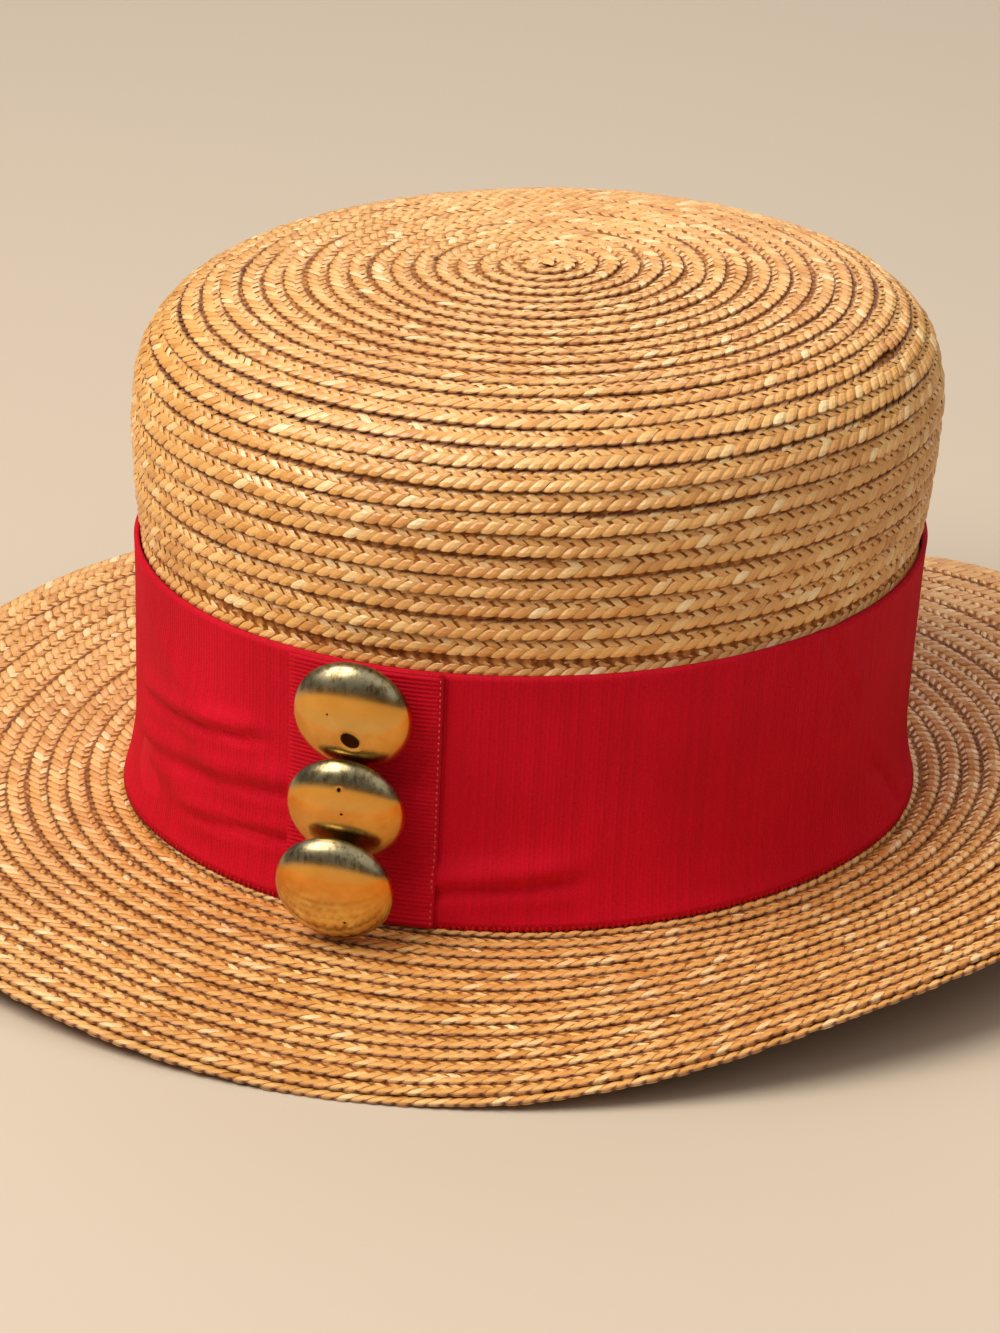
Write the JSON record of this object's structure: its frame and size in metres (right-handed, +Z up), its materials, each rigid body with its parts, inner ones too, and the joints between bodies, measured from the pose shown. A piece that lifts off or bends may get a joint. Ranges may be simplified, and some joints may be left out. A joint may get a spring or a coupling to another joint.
{
  "type": "straw hat",
  "caption": "Round straw hat with a flat-topped crown, a wavy brim, a ribbed ribbon band, a ribbon tab and domed buttons.",
  "frame": {"origin": "on the surface that the hat rests on, under the middle of the brim", "axes": "+Z up through the crown; -Y is the side with the tab and buttons, a little to its left; +X to the right of someone who looks at that side"},
  "size_m": [0.33, 0.33, 0.1337],
  "materials": {
    "straw": "golden natural straw braid, slightly glossy",
    "ribbon": "red ribbed grosgrain",
    "brass": "polished, lightly worn"
  },
  "bodies": {
    "root": {"crown": "straw", "brim": "straw", "ribbon_band": "ribbon", "ribbon_tab": "ribbon", "button_top": "brass", "button_middle": "brass", "button_bottom": "brass"}
  },
  "joints": []
}
